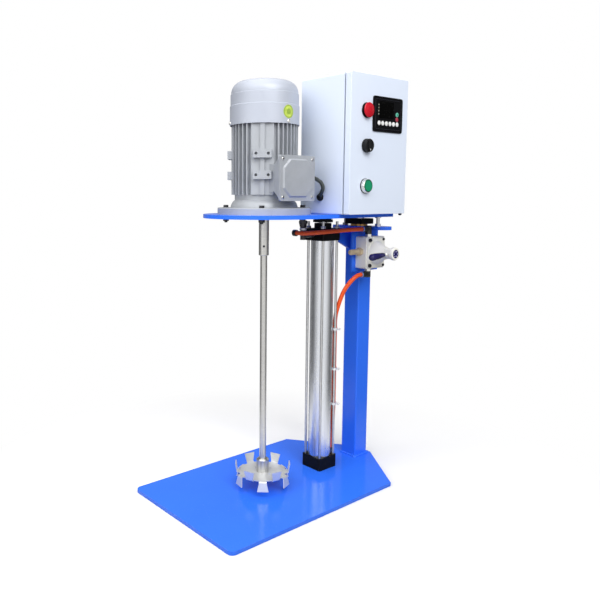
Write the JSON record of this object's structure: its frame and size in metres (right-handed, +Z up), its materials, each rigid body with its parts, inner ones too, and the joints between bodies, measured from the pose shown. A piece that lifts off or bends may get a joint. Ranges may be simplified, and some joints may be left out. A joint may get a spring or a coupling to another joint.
{
  "type": "lift mixer",
  "caption": "Pneumatic lift mixer: a column stand raises a motor with a long shaft and toothed disc, beside its control cabinet, from a base plate.",
  "frame": {"origin": "on the axis of the mixing shaft, on the underside of the base plate, which stands on the bench", "axes": "+Z up along the lift, +X towards the operator's side with the cabinet door, +Y to the column"},
  "size_m": [0.3508, 0.581, 0.909],
  "materials": {
    "frame_paint": "smooth gloss",
    "cap_black": "gloss",
    "barrel_alloy": "satin anodised",
    "ground_rod": "ground and polished",
    "zinc_steel": "zinc plated",
    "bush_bronze": "turned",
    "motor_grey": "smooth silver grey paint",
    "cowl_grey": "smooth light grey paint",
    "bearing_steel": "ground",
    "winding_copper": "varnished",
    "core_steel": "laminated",
    "fan_plastic": "moulded",
    "stainless": "turned stainless",
    "disc_steel": "satin stainless",
    "cabinet_paint": "fine textured light grey",
    "plate_zinc": "galvanised",
    "drive_grey": "moulded",
    "keypad_black": "moulded with a film front",
    "bezel_bright": "plated",
    "red_plastic": "moulded",
    "green_plastic": "moulded",
    "knob_black": "moulded",
    "valve_paint": "cream paint on cast alloy",
    "lever_metal": "cast and turned",
    "grip_plastic": "moulded",
    "silencer_sinter": "sintered bronze",
    "fitting_plastic": "moulded",
    "dial_plastic": "moulded",
    "hose_orange": "smooth polyurethane hose",
    "tie_white": "moulded nylon",
    "gland_black": "moulded",
    "lead_grey": "smooth cable sheath"
  },
  "bodies": {
    "stand": {"base_plate": "frame_paint", "column": "frame_paint", "head_plate": "frame_paint", "guide_bush": "bush_bronze", "stop_screws": "zinc_steel", "column_rib": "frame_paint", "cylinder_foot": "cap_black", "cylinder_barrel": "barrel_alloy", "cylinder_head": "cap_black", "tie_rods": "zinc_steel", "tie_rod_nuts": "zinc_steel", "rod_bush": "zinc_steel", "valve_bracket": "frame_paint", "valve_body": "valve_paint", "valve_cover": "valve_paint", "silencer": "silencer_sinter", "upper_elbow": "fitting_plastic", "lower_elbow": "fitting_plastic", "foot_elbow": "fitting_plastic", "flow_control": "fitting_plastic", "upper_hose": "hose_orange", "lower_hose": "hose_orange", "cable_ties": "tie_white"},
    "flow_dial": {"flow_knob": "dial_plastic"},
    "lever": {"valve_lever": "lever_metal", "lever_knob": "grip_plastic"},
    "carriage": {"top_plate": "frame_paint", "piston": "barrel_alloy", "piston_rod": "ground_rod", "rod_flange": "cap_black", "guide_rod": "ground_rod", "motor_flange": "motor_grey", "flange_bolts": "zinc_steel", "motor_frame": "motor_grey", "rear_shield": "motor_grey", "bearings": "bearing_steel", "motor_cowl": "cowl_grey", "stator": "winding_copper", "terminal_box": "motor_grey", "terminal_lid": "motor_grey", "cable_glands": "gland_black", "motor_lead": "lead_grey", "enclosure": "cabinet_paint", "hinge_pins": "zinc_steel", "mounting_plate": "plate_zinc", "inverter": "drive_grey"},
    "rotor": {"rotor_core": "core_steel", "cooling_fan": "fan_plastic", "motor_shaft": "stainless", "coupling_sleeve": "stainless", "mixing_shaft": "stainless", "disperser_disc": "disc_steel", "disc_hub": "stainless"},
    "door_leaf": {"door": "cabinet_paint", "keypad": "keypad_black", "switch_bodies": "drive_grey", "button_bezels": "bezel_bright"},
    "stop": {"stop_button": "red_plastic"},
    "start": {"start_button": "green_plastic"},
    "speed": {"speed_knob": "knob_black"}
  },
  "joints": [
    {"name": "lift", "type": "slide", "parent": "stand", "child": "carriage", "axis": [0, 0, 1], "range_m": [0, 0.4]},
    {"name": "disc_spin", "type": "hinge", "parent": "carriage", "child": "rotor", "pos_m": [0, 0, 0.6], "axis": [0, 0, -1], "continuous": true},
    {"name": "door_swing", "type": "hinge", "parent": "carriage", "child": "door_leaf", "pos_m": [0.1485, 0.097, 0.7655], "axis": [0, 0, -1], "range_deg": [0, 110]},
    {"name": "stop_press", "type": "slide", "parent": "door_leaf", "child": "stop", "axis": [-1, 0, 0], "range_m": [0, 0.004], "stiffness_N_per_m": 1500, "springref_m": -0.001},
    {"name": "start_press", "type": "slide", "parent": "door_leaf", "child": "start", "axis": [-1, 0, 0], "range_m": [0, 0.0035], "stiffness_N_per_m": 1500, "springref_m": -0.001},
    {"name": "speed_turn", "type": "hinge", "parent": "door_leaf", "child": "speed", "pos_m": [0.158, 0.1405, 0.764], "axis": [-1, 0, 0], "range_deg": [0, 270]},
    {"name": "lever_turn", "type": "hinge", "parent": "stand", "child": "lever", "pos_m": [0.1, 0.3045, 0.5265], "axis": [1, 0, 0], "range_deg": [-45, 45]},
    {"name": "flow_turn", "type": "hinge", "parent": "stand", "child": "flow_dial", "pos_m": [-0.003, 0.122, 0.6], "axis": [0, 0, 1], "range_deg": [0, 2880]}
  ]
}
